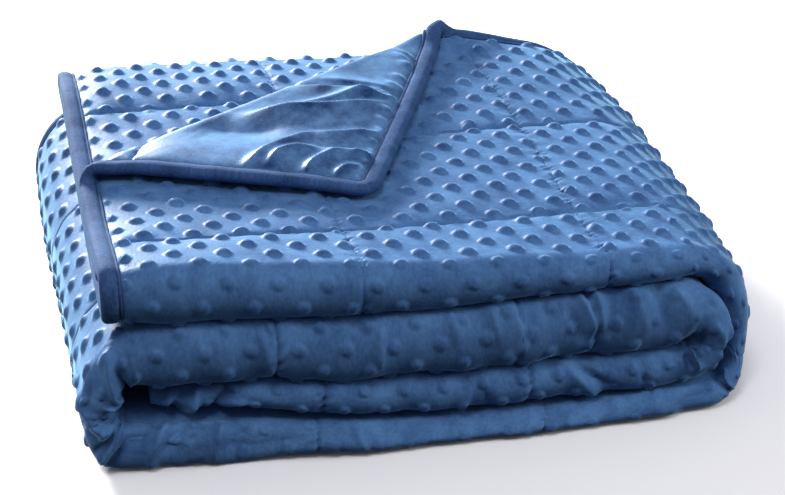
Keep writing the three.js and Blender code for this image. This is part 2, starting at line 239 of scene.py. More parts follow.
def fold_thirds(s, t, w):
    """Folds the width in thirds: y along the section, n up from the middle ply."""
    start, back = front_fold_start(s), back_fold_start(s)
    bend = np.clip((t - start) / PLY, 0, math.pi)
    tuck = np.clip((t - back) / (PLY / 2), 0, math.pi)
    near = PLY / 2 + w
    places = [t <= start, t <= start + FRONT_ARC, t <= back, t <= back + BACK_ARC]
    y = np.select(
        places,
        [
            FRONT_AXIS + start - t,
            FRONT_AXIS - (PLY + w) * np.sin(bend),
            FRONT_AXIS + t - start - FRONT_ARC,
            BACK_AXIS + near * np.sin(tuck),
        ],
        BACK_AXIS - (t - back - BACK_ARC),
    )
    n = np.select(
        places,
        [PLY + w, (PLY + w) * np.cos(bend), -PLY - w, -PLY / 2 - near * np.cos(tuck)],
        w,
    )
    return y, n


def roll_runs(y):
    """Sizes of the runs of the rolled strip at one distance from the front."""
    loft = read_table(SECTIONS, "y", "loft", y)
    right = read_table(SECTIONS, "y", "right", y)
    inner = read_table(SECTIONS, "y", "inner", y)
    layer = STRIP * loft
    wall = np.maximum(WALL_LEAST, np.minimum(layer, right - inner - WALL_GAP))
    outer_x = right - wall - layer
    left_x = read_table(SECTIONS, "y", "left", y) + LEFT_WALL + 0.5 * layer
    inner_x = inner - layer
    lengths = [
        outer_x - END_X,
        math.pi * 1.5 * layer,
        outer_x - left_x,
        math.pi * layer,
        inner_x - left_x,
        math.pi * 0.5 * layer,
    ]
    return loft, layer, wall, outer_x, left_x, inner_x, lengths


EVEN_RUNS = np.array([float(length) for length in roll_runs(0.0)[-1]])
RUN_ENDS = np.cumsum(EVEN_RUNS)


def mix(a, b, share):
    """Value a share of the way from a to b."""
    return a + (b - a) * share


def roll_strip(s, n, y):
    """Rolls the strip flat into four layers at one distance from the front."""
    loft, layer, wall, outer_x, left_x, inner_x, _ = roll_runs(y)
    up = n * loft
    run = np.searchsorted(RUN_ENDS, s)
    known = np.minimum(run, 5)
    share = 1 - (RUN_ENDS[known] - s) / EVEN_RUNS[known]
    sine = np.clip(np.sin(math.pi * share), 0, 1)
    cosine = np.cos(math.pi * share)
    along = (s - RUN_ENDS[5]) / (LENGTH - RUN_ENDS[5])
    outer = layer + wall * (0.5 + up / layer)
    left = 0.5 * layer + LEFT_WALL * (0.5 + up / layer)
    inner = 0.5 * layer + up
    slack, boxy = sine**UPPER_BULGE, sine**LOWER_BULGE
    places = [run == k for k in range(6)]
    x = np.select(
        places,
        [
            mix(END_X - END_SKEW * y, outer_x, share),
            outer_x + outer * np.where(share > 0.5, boxy, slack),
            mix(outer_x, left_x, share),
            left_x - left * np.where(share < 0.5, boxy, slack),
            mix(left_x, inner_x, share),
            inner_x + inner * sine,
        ],
        mix(inner_x, left_x + INNER_END_GAP, along),
    )
    z = np.select(
        places,
        [
            3.5 * layer + up,
            2 * layer + (1.5 * layer + up) * cosine,
            0.5 * layer - up,
            1.5 * layer - (layer + up) * cosine,
            2.5 * layer + up,
            2 * layer + inner * cosine,
        ],
        1.5 * layer - up,
    )
    return x, z, layer


def settle(x, y, z, layer):
    """Settles the layers: uneven at the front, leaning a little from left to right."""
    heights = [np.zeros_like(x)]
    heights += [read_table(JOINTS, "x", name, x) for name in ("first", "second", "third", "top")]
    heights = np.array(heights)
    count = np.clip(z / layer, 0, 4)
    below = np.minimum(np.floor(count).astype(int), 3)
    column = np.arange(len(x))
    low, high = heights[below, column], heights[below + 1, column]
    front = mix(low, high, count - below) + z - count * layer
    rise = read_table(BACK_RISES, "x", "rise", x) * ease((y - BACK_RISE_FROM_Y) / BACK_RISE_FADE)
    return mix(front, z * (1 + LEAN * x + rise), ease((y - FRONT_FULL_Y) / FRONT_FADE))


def edge_lift(s, t):
    """Lift of the top ply's free edge beside the turned corner."""
    along = ease((s - LIFT_FROM_S) / (LIFT_FULL_S - LIFT_FROM_S))
    away = 1 - ease((s - LIFT_FULL_S) / (LIFT_LOW_S - LIFT_FULL_S))
    return LIFT * along * away * (1 - ease(t / LIFT_REACH))


def curl(flat_s, flat_t):
    """Slight curl of the turned corner's front edge, off the ply below it."""
    turned = ease((turn_depth(flat_s, flat_t) - TURN_ARC) / CURL_FADE)
    beside_edge = ease((CURL_FROM_S - flat_s) / CURL_REACH_S)
    ends = ease((CURL_END_T - flat_t) / CURL_END_FADE)
    return CURL * turned * beside_edge * ease(flat_t / CURL_RISE_T) * ends


def place(flat_s, flat_t, flat_w):
    """Carries points of the flat blanket, in millimetres, to the folded one, in metres."""
    flat_s, flat_t, flat_w = (np.atleast_1d(np.asarray(v, float)) for v in (flat_s, flat_t, flat_w))
    s, t, w = turn_corner(flat_s, flat_t, flat_w)
    y, n = fold_thirds(s, t, w)
    y = y + read_table(FRONTS, "s", "back", s) * (1 - ease((y - FRONT_Y) / FRONTS_FADE))
    x, z, layer = roll_strip(s, n, y)
    z = settle(x, y, z, layer) - FLOOR_LIFT + edge_lift(s, t) + curl(flat_s, flat_t)
    return MM * np.stack([x - CENTRE_X, y - CENTRE_Y, np.maximum(z, 0)], axis=1)


# Sewn lines along s and across t; they lie closer where the cloth runs round the turns and folds.
SEWN_S = np.array(
    [122.0, 244.0, 361.0, 477.0, 592.0, 706.0, 818.0, 935.0, 1046.0, 1148.0, 1254.0]
)
SEWN_T = np.array([132.0, 244.0, 348.0, 467.0, 589.0, 702.0, 821.0])


def off_stitching(s, t):
    """Distances to the nearest sewn line along s and along t."""
    across_s = np.min([np.abs(s - line) for line in SEWN_S], axis=0)
    across_t = np.min([np.abs(t - line) for line in SEWN_T], axis=0)
    return across_s, across_t


def swell(distance, reach):
    """Round rise from a sewn line to the crown of a square."""
    return np.sqrt(1 - (1 - np.clip(distance / reach, 0, 1)) ** 2)


# The cloth is drawn tighter round the right and the left turn of the roll.
TURN_SHARE, TURN_FADE = 0.55, 15.0
TIGHT_S = np.array([RUN_ENDS[k] + gap for k in range(4) for gap in (-TURN_FADE, TURN_FADE)])
TIGHT_SHARE = np.array([1, TURN_SHARE, TURN_SHARE, 1, 1, TURN_SHARE, TURN_SHARE, 1])


def edge_distance(s, t):
    """Distance to the nearest edge of the flat cloth."""
    return np.minimum(np.minimum(s, LENGTH - s), np.minimum(t, WIDTH - t))


def half_thickness(s, t):
    """Half thickness of the quilted cloth, drawn in along the stitching and under the binding."""
    across_s, across_t = off_stitching(s, t)
    edge = edge_distance(s, t)
    full = CROWN_HALF * np.interp(s, TIGHT_S, TIGHT_SHARE)
    cross = 1 - CROSS_DEPTH * (1 - swell(across_s, CROSS_REACH))
    crown = mix(STITCH_HALF, full, cross * swell(across_t, GROOVE_REACH))
    rising = mix(EDGE_HALF, CROWN_HALF, swell(edge - BINDING_WIDTH, EDGE_REACH))
    return np.minimum(crown, rising)


def linear(colour):
    """Linear colour of an sRGB hex value."""
    values = [int(colour[k : k + 2], 16) / 255 for k in (1, 3, 5)]
    return [v / 12.92 if v <= 0.04045 else ((v + 0.055) / 1.055) ** 2.4 for v in values]


class BlanketSizes(bpy.types.PropertyGroup):
    """Sizes of the blanket's surface"""

    dot_pitch: bpy.props.FloatProperty(
        name="Dot pitch", description="Distance between dots in a row", default=0.0235, unit="LENGTH"
    )
    dot_width: bpy.props.FloatProperty(
        name="Dot width", description="Width of a raised dot at its foot", default=0.0086, unit="LENGTH"
    )
    dot_height: bpy.props.FloatProperty(
        name="Dot height", description="Height of a raised dot", default=0.0023, unit="LENGTH"
    )
    stitch_length: bpy.props.FloatProperty(
        name="Stitch length", description="Length of one stitch", default=0.0032, unit="LENGTH"
    )
    stitch_pitch: bpy.props.FloatProperty(
        name="Stitch pitch",
        description="Distance from one stitch to the next",
        default=0.0046,
        unit="LENGTH",
    )


class BlanketColours(bpy.types.PropertyGroup):
    """Colours of the blanket's cloths, as sRGB hex values"""

    face: bpy.props.StringProperty(
        name="Dotted plush", description="Pile of the dotted side", default="#4f77a6"
    )
    # Deep tone of the brushed patches, and the colour of the painted shade on the dots.
    face_deep_and_shade: bpy.props.StringProperty(
        name="Dotted plush, deep", description="Pile brushed away from the light", default="#3f618f"
    )
    reverse: bpy.props.StringProperty(
        name="Smooth plush", description="Pile of the smooth side", default="#5780ae"
    )
    # Deep tone of the brushed patches, and of the painted shade on the turned corner's folds; their painted
    # highlights are mixed away from it.
    reverse_deep_and_shade: bpy.props.StringProperty(
        name="Smooth plush, deep",
        description="Smooth pile brushed away from the light",
        default="#2f4e79",
    )
    binding: bpy.props.StringProperty(
        name="Binding", description="Cloth of the bound edge", default="#3a5683"
    )
    # Deep tone of the worn patches, and of the painted shade along the binding's sewn edges and grooves.
    binding_worn_and_shade: bpy.props.StringProperty(
        name="Binding, deep", description="Worn patches of the bound edge", default="#2f4870"
    )
    thread: bpy.props.StringProperty(
        name="Thread", description="Sewing thread", default="#3f6092"
    )


def add_node(tree, kind, inputs=None, links=None, **settings):
    """Adds a node with its settings, its sockets' values and the links into it."""
    node = tree.nodes.new(kind)
    for name, value in settings.items():
        setattr(node, name, value)
    for socket, value in (inputs or {}).items():
        node.inputs[socket].default_value = value
    for socket, source in (links or {}).items():
        tree.links.new(source, node.inputs[socket])
    return node


# Size of the brushed patches of the pile, the stretch of each noise that is used, and how strongly the
# dot mark paints shade into the tone, as a share of the brushed patches: painted shade on the dots, on the
# falling folds of the turned corner and in the binding's grooves, painted highlight where it is negative.
BRUSHED_PATCH = 0.016
PATCH_LOW, PATCH_HIGH = 0.65, 0.35
PILE_LOW, PILE_HIGH = 0.3, 0.7
DOT_SHADE = 0.6
PILE_BUMP, SHEEN_ROUGHNESS = 0.5, 0.3
GLOSS_TINT, SHEEN_TINT = "#b4dcff", "#a6dcff"


def plush(name, colour, deep, *, patchy, grain, pile_mm, pile_depth, roughness, specular, sheen):
    """Short polyester pile: brushed patches, fine grain, painted shade from its dot mark, a satin light and
    a pale bloom seen along it.
    """
    material = bpy.data.materials.new(name)
    material.use_nodes = True
    tree = material.node_tree
    shader = tree.nodes["Principled BSDF"]
    flat = add_node(tree, "ShaderNodeAttribute", attribute_name="flat")
    # The dot mark holds painted shade, and painted highlight where it is negative.
    dot = add_node(tree, "ShaderNodeAttribute", attribute_name="dot")
    on_cloth = {"Vector": flat.outputs["Vector"]}
    brushed = add_node(
        tree,
        "ShaderNodeTexNoise",
        {"Scale": 1 / BRUSHED_PATCH, "Detail": 5.0, "Roughness": 0.65},
        on_cloth,
    )
    # The pile is drawn a little coarser than its real half millimetre, so that it shows.
    pile = add_node(tree, "ShaderNodeTexNoise", {"Scale": 1 / (MM * pile_mm), "Detail": 2.0}, on_cloth)
    shade = add_node(
        tree,
        "ShaderNodeMapRange",
        {"From Min": PATCH_LOW, "From Max": PATCH_HIGH, "To Max": patchy},
        {"Value": brushed.outputs["Fac"]},
    )
    # Painted shade from the dot mark, added to the brushed patches.
    raised = add_node(
        tree,
        "ShaderNodeMath",
        {1: DOT_SHADE},
        {0: dot.outputs["Fac"], 2: shade.outputs["Result"]},
        operation="MULTIPLY_ADD",
    )
    tips = add_node(
        tree,
        "ShaderNodeMapRange",
        {"From Min": PILE_LOW, "From Max": PILE_HIGH, "To Min": grain / 2, "To Max": -grain / 2},
        {"Value": pile.outputs["Fac"]},
    )
    depth = add_node(
        tree,
        "ShaderNodeMath",
        links={0: raised.outputs["Value"], 1: tips.outputs["Result"]},
        operation="ADD",
    )
    tone = add_node(
        tree,
        "ShaderNodeMix",
        {"A": (*linear(colour), 1), "B": (*linear(deep), 1)},
        {"Factor": depth.outputs["Value"]},
        data_type="RGBA",
        clamp_factor=False,
    )
    bump = add_node(
        tree,
        "ShaderNodeBump",
        {"Strength": PILE_BUMP, "Distance": pile_depth * MM},
        {"Height": pile.outputs["Fac"]},
    )
    tree.links.new(tone.outputs["Result"], shader.inputs["Base Color"])
    tree.links.new(bump.outputs["Normal"], shader.inputs["Normal"])
    shader.inputs["Roughness"].default_value = roughness
    shader.inputs["Specular IOR Level"].default_value = specular
    shader.inputs["Specular Tint"].default_value = (*linear(GLOSS_TINT), 1)
    shader.inputs["Sheen Weight"].default_value = sheen
    shader.inputs["Sheen Roughness"].default_value = SHEEN_ROUGHNESS
    shader.inputs["Sheen Tint"].default_value = (*linear(SHEEN_TINT), 1)
    return material


def read_points(mesh):
    """Points of a mesh, one to a row."""
    points = np.empty(3 * len(mesh.vertices))
    mesh.vertices.foreach_get("co", points)
    return points.reshape(-1, 3)


def flat_grid(name, x_segments, y_segments):
    """A flat grid of cloth, and each point's share of the way along and across it."""
    cloth = bmesh.new()
    bmesh.ops.create_grid(cloth, x_segments=x_segments, y_segments=y_segments, size=0.5)
    mesh = bpy.data.meshes.new(name)
    cloth.to_mesh(mesh)
    cloth.free()
    share = read_points(mesh) + 0.5
    return mesh, share[:, 0], share[:, 1]


def add_object(name, mesh):
    """Puts a mesh into the scene, at the origin."""
    piece = bpy.data.objects.new(name, mesh)
    bpy.context.scene.collection.objects.link(piece)
    return piece


def finish_piece(piece, material, node):
    """Gives a piece its material and body, and lets it stand for its solid."""
    piece.data.materials.append(material)
    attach(piece, "root")
    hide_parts(node)


def steps(*bands):
    """Lines that divide the cloth, from bands of start, end and spacing."""
    lines = [np.linspace(a, b, max(2, round((b - a) / gap) + 1))[:-1] for a, b, gap in bands]
    return np.append(np.concatenate(lines), bands[-1][1])


def lay_sheet(name, s_lines, t_lines, height):
    """A flat grid of cloth with a line at each of those places, carried into the folds."""
    last_s, last_t = len(s_lines) - 1, len(t_lines) - 1
    mesh, along, across = flat_grid(name, last_s, last_t)
    s = s_lines[np.rint(along * last_s).astype(int)]
    t = t_lines[np.rint(across * last_t).astype(int)]
    s, t = round_corners(s, t)
    w, marks = height(s, t)
    mesh.vertices.foreach_set("co", place(s, t, w).ravel())
    keep_flat(mesh, s, t, marks)
    mesh.shade_smooth()
    return add_object(name, mesh)


# How far the plush stops short of the blanket's edge, under the binding: at its sides and corners.
SHEET_INSET, CORNER_INSET = 3, 2.4


def round_corners(s, t):
    """Draws the cloth's corners in under the rounded binding."""
    reach = CORNER_ROUND - CORNER_INSET
    middle_s = np.clip(s, CORNER_ROUND, LENGTH - CORNER_ROUND)
    middle_t = np.clip(t, CORNER_ROUND, WIDTH - CORNER_ROUND)
    off = np.hypot(s - middle_s, t - middle_t)
    keep = np.minimum(1, reach / np.maximum(off, 1e-6))
    return middle_s + (s - middle_s) * keep, middle_t + (t - middle_t) * keep


def keep_flat(mesh, s, t, marks):
    """Stores each point's place on the flat cloth, for patterns that follow it, and its marks of painted
    shade.
    """
    layer = mesh.attributes.new("flat", "FLOAT_VECTOR", "POINT")
    layer.data.foreach_set("vector", (MM * np.stack([s, t, 0 * s], axis=1)).ravel())
    for name, values in marks.items():
        mark = mesh.attributes.new(name, "FLOAT", "POINT")
        mark.data.foreach_set("value", np.ascontiguousarray(values, dtype=np.float32))


# Rows of dots stand in a centred lattice; one dot lies at this place on the flat cloth. The rows run a
# little askew to the sewn lines, and those of the front squares of the top lean across them.
DOT_S, DOT_T, DOT_SKEW = 211.0, 207.8, 0.075
DOT_LEAN, LEAN_FROM_T, LEAN_MIDDLE_T, LEAN_TO_T = 0.083, 131.0, 206.0, 244.0
LEAN_END_T, LEAN_FADE = 250.0, 35.0
# Dots have flatter tops on the rolled front than on the plies, and are smaller there.
PLY_DOT_SHAPE, FRONT_DOT_SHAPE, FRONT_DOT_SHRINK = 2.8, 4.5, 0.18
# How much longer the outside of the roll's turns is, as a share of them, and how long the last square is
# before it is drawn in.
RIGHT_STRETCH, LEFT_STRETCH, END_STRETCH = 0.28, 0.42, 93.0


def dots(s, t):
    """Raised dots, 0 beside a dot and 1 on its top."""
    sizes = bpy.context.scene.blanket_sizes
    pitch, radius = sizes.dot_pitch / MM, sizes.dot_width / MM / 2
    leaning = np.clip(t, LEAN_FROM_T, LEAN_TO_T) - LEAN_MIDDLE_T
    lean = DOT_LEAN * leaning * (1 - ease((t - LEAN_END_T) / LEAN_FADE))
    u = (outside_s(s) - DOT_S - lean) / pitch
    v = (outside_t(s, t) - DOT_T - DOT_SKEW * (np.minimum(s, SKEW_ENDS) - DOT_S)) / pitch
    even = np.hypot(u - np.round(u), v - np.round(v))
    odd = np.hypot(u - np.floor(u) - 0.5, v - np.floor(v) - 0.5)
    front = on_front(s, t)
    off = np.minimum(even, odd) * pitch / (radius * (1 - FRONT_DOT_SHRINK * front))
    return np.clip(1 - off ** mix(PLY_DOT_SHAPE, FRONT_DOT_SHAPE, front), 0, 1)


def front_band(s, t, before, after, fade):
    """1 on the rolled front and 0 away from it: how far it reaches past either end, and its fade."""
    start = front_fold_start(s)
    return ease((t - start + before) / fade) * ease((start + FRONT_ARC + after - t) / fade)


def on_front(s, t):
    """1 on the rolled front and 0 away from it."""
    return front_band(s, t, before=4, after=4, fade=8)


def outside_s(s):
    """Place along the outside of the roll's turns, which spaces the dots evenly round them."""
    right, left, inner = (np.clip(s - RUN_ENDS[k - 1], 0, EVEN_RUNS[k]) for k in (1, 3, 5))
    even = SQUARE * np.arange(1, len(SEWN_S) + 1)
    along = np.interp(s, [0, *SEWN_S, LENGTH], [0, *even, LENGTH + END_STRETCH])
    return along + RIGHT_STRETCH * right + LEFT_STRETCH * left + inner


def outside_t(s, t):
    """The same for the folds in thirds, with the slip of the rows."""
    stretch = read_lines(FOLD_STRETCH, "s", "share", s)
    front = np.clip(t - front_fold_start(s), 0, FRONT_ARC) * stretch
    back = np.clip(t - back_fold_start(s), 0, BACK_ARC) * BACK_STRETCH
    return t + read_lines(SLIPS, "t", "slip", t) + front + back


# Share of a dot's height along the strip, on its plies and on the rolled front. Dots are pressed flat
# where the cloth lies on the floor or between layers.
PLY_ROOM = table(
    "s share",
    (0, 1),
    (RUN_ENDS[1] - 15, 1),
    (RUN_ENDS[1] + 10, 0.1),
    (RUN_ENDS[2] - 5, 0.1),
    (RUN_ENDS[2] + 20, 1),
    (RUN_ENDS[3] - 15, 1),
    (RUN_ENDS[3] + 10, 0.3),
)
FRONT_ROOM = table(
    "s share",
    (RUN_ENDS[1] - 20, 0.6),
    (RUN_ENDS[1] + 10, 0.4),
    (RUN_ENDS[2] - 10, 0.4),
    (RUN_ENDS[2] + 20, 0.6),
)
PRESSED = 0.25
# Round the back fold: where the dots are free again, and where they are tucked away.
BACK_REACH, BACK_FREE, BACK_FREE_FADE = 20.0, 14.0, 12.0
BACK_TUCKED, BACK_TUCKED_FADE = 10.0, 14.0


def dot_room(s, t):
    """How much of a dot's height is left free: little where the cloth lies on another layer."""
    start, back = front_fold_start(s), back_fold_start(s)
    pressed = mix(read_lines(PLY_ROOM, "s", "share", s), PRESSED, ease((t - start) / FRONT_ARC))
    nose = front_band(s, t, before=8, after=8, fade=16)
    room = mix(pressed, read_lines(FRONT_ROOM, "s", "share", s), nose)
    on_back = ease((t - back + BACK_FREE) / BACK_FREE_FADE)
    tucked = ease((t - back - BACK_ARC - BACK_TUCKED) / BACK_TUCKED_FADE)
    top_free = np.where(s < RUN_ENDS[1], 1.0, 1 - tucked)
    return np.where(t > back - BACK_REACH, np.maximum(PRESSED, on_back * top_free), room)


# Heights and reaches of what the thread pulls in beside the sewn lines.
PUCKER, PUCKER_REACH_S, PUCKER_REACH_T = 0.2, 6.0, 7.0
PLY_CROSS_DITCH, FRONT_CROSS_DITCH = 0.5, 1.2
CRUMPLE, CRUMPLE_REACH = 0.7, 2.6


def wave(along, length, wander, over, lean=0):
    """Wave along the cloth, with a wave length that wanders."""
    return np.sin(along * 2 * math.pi / length + wander * np.sin(along / over) + lean)


def beside(distance, reach):
    """1 on a line, falling to 0 beside it."""
    return np.exp(-((distance / reach) ** 2))


def pucker(s, t):
    """Small gathers that the thread pulls in beside the sewn lines, and the narrow ditch it lies in."""
    crooked = s + 0.6 * np.sin(t / 5.3) + 0.4 * np.sin(t / 2.9)
    across_s, across_t = off_stitching(crooked, t)
    wave_t = wave(t, length=10.5, wander=1.3, over=23.0) * beside(across_s, PUCKER_REACH_S)
    wave_s = wave(s, length=12.5, wander=1.7, over=31.0) * beside(across_t, PUCKER_REACH_T)
    cross = mix(PLY_CROSS_DITCH, FRONT_CROSS_DITCH, on_front(s, t)) * beside(across_s, DITCH_WIDTH)
    ditch = beside(across_t, DITCH_WIDTH) + cross
    return PUCKER * wave_t + PUCKER * wave_s - DITCH_DEPTH * ditch


def crumple(s, t):
    """Dots that a cross line runs through, squashed into small crumples."""
    across_s, _ = off_stitching(s + 1.2 * np.sin(t / 4.1), t)
    ripple = wave(t, length=3.9, wander=2.1, over=7.3, lean=0.9 * s)
    patches = ease(0.5 + 0.9 * wave(t, length=14.3, wander=1.6, over=19.0))
    return ripple * beside(across_s, CRUMPLE_REACH) * patches


# How deep the upper side of the lowest front is drawn in, along the strip, and where in t that starts.
TUCKS = table(
    "s depth start",
    (425, 0, 301),
    (465, 3.2, 301),
    (590, 3.2, 301),
    (625, 4.6, 296),
    (672, 4.6, 296),
    (692, 0, 296),
)
TUCK_FADE, TUCK_END_T, TUCK_END_FADE = 8.0, 330.0, 10.0


def tuck(s, t):
    """Upper side of the lowest front, drawn in under the layer above it."""
    depth, start = (read_lines(TUCKS, "s", name, s) for name in ("depth", "start"))
    return -depth * ease((t - start) / TUCK_FADE) * ease((TUCK_END_T - t) / TUCK_END_FADE)


# Heights of the quick and the slow gathers of the front, and their share on the top layer.
QUICK_GATHER, SLOW_GATHER, TOP_GATHER = 0.45, 0.5, 0.35


def gathers(s, t):
    """Uneven gathers down the rolled front."""
    nose = front_band(s, t, before=4, after=6, fade=10)
    lower = np.interp(s, [RUN_ENDS[0], RUN_ENDS[1]], [TOP_GATHER, 1.0])
    quick = np.sin(s / 3.7 + 1.9 * np.sin(s / 13.0) + 0.22 * t) * np.sin(s / 29.0 + 0.6)
    slow = np.sin(s / 8.3 + 1.4 * np.sin(s / 21.0) - 0.12 * t)
    return nose * lower * (QUICK_GATHER * quick + SLOW_GATHER * slow)


# Creases and gathers on the flat cloth, each along a curve through three points. The crease rises
# out of the shown side, or sinks where its rise is negative, and falls away over two widths:
# one on its left going from the first point to the last, one on its right.
CREASE_COLUMNS = "s0 t0 s1 t1 s2 t2 left right rise"
CORNER_CREASES = table(
    CREASE_COLUMNS,
    (70, 90, 104, 46, 130, 18, 4, 9, 2.2),
    (74, 96, 90, 48, 112, 8, 3, 15, 3.4),
    (6, 74, 40, 59, 64, 36, 2.5, 10, 3.2),
    (56, 46, 61, 28, 73, 8, 2.5, 9, 2.6),
    (10, 60, 30, 54, 40, 36, 2, 7, 2.4),
    (37, 44, 38, 22, 46, 6, 2, 6, 2.0),
    (8, 40, 27, 35, 38, 20, 2, 6, 2.4),
    (36, 24, 38, 14, 38, 5, 2, 5, 1.6),
    (9, 24, 20, 21, 27, 14, 1.8, 4, 1.6),
    (27, 16, 23, 12, 14, 7, 1.8, 3, 1.2),
    (62, 108, 58, 86, 66, 56, 9, 13, -2.4),
    (118, 76, 118, 40, 114, 5, 1.6, 9, 2.4),
    (131, 66, 131, 37, 128, 5, 6, 3, 1.0),
    (124, 24, 117, 14, 107, 7, 1.5, 2.5, 1.3),
    (104, 18, 97, 10, 89, 5, 1.5, 2.5, 1.2),
    (90, 18, 84, 11, 77, 5, 1.5, 2.5, 1.0),
    (78, 16, 71, 10, 64, 5, 1.5, 2.5, 1.0),
    (60, 16, 56, 10, 51, 5, 1.4, 2.2, 0.9),
    (50, 14, 45, 9, 41, 5, 1.4, 2.2, 0.9),
    (33, 13, 30, 9, 27, 5, 1.3, 2, 0.9),
    (24, 12, 20, 8, 16, 5, 1.3, 2, 0.9),
    (182, 26, 171, 13, 161, 5, 1.6, 3, 1.3),
    (188, 25, 178, 12, 172, 5, 1.6, 3, 1.2),
    (170, 20, 165, 11, 160, 5, 1.5, 2.5, 1.0),
    (152, 20, 146, 12, 140, 5, 1.6, 3, 1.0),
    (140, 22, 134, 13, 129, 5, 1.6, 3, 1.0),
)
FACE_CREASES = table(
    CREASE_COLUMNS,
    (722, 336, 722, 320, 720, 304, 12, 12, 6.5),
    (744, 330, 738, 320, 733, 308, 2, 2, -3),
    (704, 330, 709, 320, 713, 309, 2, 2, -3),
    (646, 297, 641, 307, 634, 317, 3.5, 3, 3.6),
    (635, 299, 631, 307, 626, 315, 4, 3, -2.4),
    (655, 304, 650, 310, 645, 316, 3, 3, -2.2),
    (677, 296, 669, 308, 660, 319, 3.5, 3, 3.6),
    (668, 300, 662, 309, 654, 318, 3, 2.5, -2.2),
    (683, 294, 679, 306, 672, 318, 2, 1.6, -3.2),
    (687, 293, 685, 306, 681, 319, 1.8, 1.6, 3),
    (692, 294, 692, 305, 686, 316, 2, 1.8, -2.6),
    (718, 300, 700, 305, 684, 315, 2.5, 2, 2.8),
    (712, 306, 701, 311, 690, 319, 2, 1.8, -2.4),
    (740, 295, 735, 305, 725, 319, 2.2, 2.6, 3),
    (738, 301, 742, 312, 745, 326, 2.4, 2, -3),
    (730, 299, 722, 300, 709, 303, 2.4, 2.2, -2.2),
    (709, 288, 702, 298, 693, 308, 2.4, 2, -2),
    (722, 290, 716, 297, 712, 304, 2, 2, 1.8),
    (1385, 303, 1350, 303, 1306, 303, 9, 9, 11),
    (1338, 294, 1330, 300, 1322, 309, 2.2, 2, -3.4),
    (1336, 300, 1326, 304, 1311, 302, 2, 2, 2.4),
    (1329, 294, 1320, 301, 1313, 310, 2, 1.8, 3),
    (1313, 294, 1307, 301, 1300, 310, 2.2, 2, -2.6),
    (1323, 297, 1318, 305, 1314, 314, 2.5, 2, 2.4),
    (1309, 298, 1300, 303, 1288, 300, 3, 2, 2),
    (1334, 306, 1330, 312, 1322, 317, 3, 3, -2.4),
    (1284, 313, 1276, 310, 1266, 313, 4, 3, -1.6),
    (1254, 310, 1255, 304, 1256, 297, 2.5, 2, -1.6),
    (959, 296, 964, 303, 970, 309, 2.4, 2, -1.8),
    (965, 293, 969, 300, 974, 307, 2.4, 2, 2.4),
    (975, 291, 975, 299, 976, 306, 2.4, 2.2, 2.4),
    (970, 291, 972, 298, 975, 304, 1.6, 1.6, -1.6),
    (982, 292, 981, 300, 979, 308, 2.6, 2.6, -1.8),
    (974, 302, 974, 308, 975, 315, 2.4, 2.2, -2.4),
    (990, 292, 995, 300, 999, 308, 5, 5, 2.4),
    (1003, 290, 1007, 300, 1013, 312, 4.5, 5, -3),
    (1014, 294, 1020, 301, 1024, 308, 4, 4, 1.8),
    (1026, 293, 1036, 297, 1044, 300, 3, 3, 1.6),
    (1012, 317, 1038, 311, 1058, 303, 4, 3.5, -4.4),
    (1050, 315, 1054, 308, 1057, 303, 1.8, 2.2, -3.2),
    (1058, 315, 1058, 308, 1058, 302, 2, 1.6, 2.6),
    (1034, 304, 1043, 302, 1056, 301, 1.8, 2.2, 2.6),
    (1064, 312, 1062, 307, 1059, 303, 1.8, 2, -2.8),
    (1124, 314, 1112, 306, 1097, 296, 2.8, 2.4, -3),
    (1129, 311, 1118, 303, 1107, 294, 3, 2.5, 2.2),
    (1089, 307, 1086, 302, 1083, 298, 2, 2, -1.6),
    (1177, 312, 1182, 304, 1185, 296, 2.5, 2, 1.8),
    (1173, 307, 1170, 301, 1168, 296, 2.5, 2, -1.4),
    (484, 310, 486, 304, 486, 298, 2, 2, 1.4),
    (464, 313, 464, 307, 463, 300, 2, 2, 1.4),
    (540, 312, 545, 305, 548, 297, 2.5, 2.5, 1.6),
    (575, 314, 570, 306, 566, 298, 3, 2.5, 1.6),
    (394, 315, 386, 306, 384, 297, 2.2, 1.8, -2.2),
    (384, 315, 380, 305, 383, 297, 2.2, 1.8, 2),
    (400, 314, 404, 306, 407, 297, 3, 2.5, -1.6),
    (933, 298, 935, 304, 935, 310, 2, 1.8, 1.8),
    (901, 294, 902, 299, 904, 305, 3, 2.5, 1.6),
    (920, 294, 922, 300, 925, 306, 3, 2.5, 1.6),
    (808, 296, 812, 303, 814, 310, 3, 2.5, 1.4),
    (868, 296, 866, 303, 866, 311, 2.5, 2.5, 1.4),
)
# Straight parts of a crease's curve, widths it is worked out over, share of its length at either end
# over which it rises, from a small start, and how sharply it falls away.
CREASE_PARTS, CREASE_REACH = 8, 3
CREASE_RISE, CREASE_START, CREASE_FALL = 0.35, 0.05, 1.5


